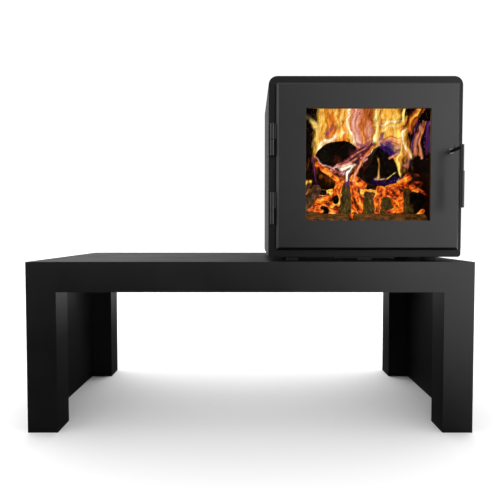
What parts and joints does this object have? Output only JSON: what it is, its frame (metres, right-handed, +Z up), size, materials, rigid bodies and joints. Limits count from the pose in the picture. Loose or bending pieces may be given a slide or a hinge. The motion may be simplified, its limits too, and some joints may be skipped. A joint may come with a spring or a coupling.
{
  "type": "wood burning stove on a bench",
  "caption": "Black steel wood burning stove with a glazed hinged door and rear flue outlet, standing at one end of a low open bench.",
  "frame": {"origin": "on the floor under the middle of the whole object's box", "axes": "+X along the bench to the viewer's right, where the stove stands; +Y from the door towards the back; +Z up"},
  "size_m": [1.2, 0.6346, 0.971],
  "materials": {
    "black_paint": "satin black stove paint with a fine powder texture",
    "black_plastic": "matt",
    "cast_iron": "matt, sand cast",
    "bare_steel": "heat-darkened mill finish",
    "fire_brick": "porous vermiculite board, sooted",
    "sealing_rope": "knitted glass fibre",
    "charred_wood": "charred bark",
    "embers": "glowing ember bed with ash",
    "stove_glass": "clear heat-resistant glass"
  },
  "bodies": {
    "stove_body": {"bench_top_sheet": "black_paint", "bench_beam_front": "black_paint", "bench_beam_rear": "black_paint", "bench_rail_left": "black_paint", "bench_rail_right": "black_paint", "bench_side_panel_left": "black_paint", "bench_side_panel_right": "black_paint", "bench_leg_front_left": "black_paint", "bench_leg_front_right": "black_paint", "bench_leg_rear_left": "black_paint", "bench_leg_rear_right": "black_paint", "bench_leg_plug_front_left": "black_plastic", "bench_leg_plug_front_right": "black_plastic", "bench_leg_plug_rear_left": "black_plastic", "bench_leg_plug_rear_right": "black_plastic", "casing": "black_paint", "front_plate": "black_paint", "back_plate": "black_paint", "flue_collar": "cast_iron", "stove_foot_front_left": "cast_iron", "stove_foot_front_right": "cast_iron", "stove_foot_rear_left": "cast_iron", "stove_foot_rear_right": "cast_iron", "fire_brick_left": "fire_brick", "fire_brick_right": "fire_brick", "fire_brick_rear": "fire_brick", "baffle_plate": "fire_brick", "hearth_block": "fire_brick", "grate": "cast_iron", "ash_pan": "bare_steel", "log_guard": "cast_iron", "airwash_deflector": "bare_steel", "latch_keeper": "bare_steel", "ember_bed": "embers", "log_front_left": "charred_wood", "log_front_right": "charred_wood", "log_upper_left": "charred_wood", "log_upper_right": "charred_wood", "air_slide_guide_left": "black_paint", "air_slide_guide_right": "black_paint", "hinge_knuckle_body_lower": "black_paint", "hinge_knuckle_body_upper": "black_paint", "hinge_pin_lower": "bare_steel", "hinge_pin_upper": "bare_steel"},
    "air_control": {"air_slide": "black_paint"},
    "door": {"hinge_knuckle_door_lower": "black_paint", "hinge_knuckle_door_upper": "black_paint", "door_panel": "black_paint", "door_glass": "stove_glass", "glass_gasket": "sealing_rope", "door_rope_seal": "sealing_rope", "glass_clip_lower": "bare_steel", "glass_clip_upper": "bare_steel", "spindle_bush": "bare_steel"},
    "handle": {"handle_lever": "black_paint", "handle_grip": "black_paint", "handle_stop_pin": "black_paint", "latch_tongue": "bare_steel", "spindle_nut": "bare_steel"}
  },
  "joints": [
    {"name": "door_hinge", "type": "hinge", "parent": "stove_body", "child": "door", "pos_m": [0.0615, -0.23125, 0.7], "axis": [0, 0, -1], "range_deg": [0, 110]},
    {"name": "handle_turn", "type": "hinge", "parent": "door", "child": "handle", "pos_m": [0.549, -0.24275, 0.762], "axis": [0, -1, 0], "range_deg": [-12, 90]},
    {"name": "air_slide_pull", "type": "slide", "parent": "stove_body", "child": "air_control", "axis": [0, -1, 0], "range_m": [0, 0.016]}
  ]
}
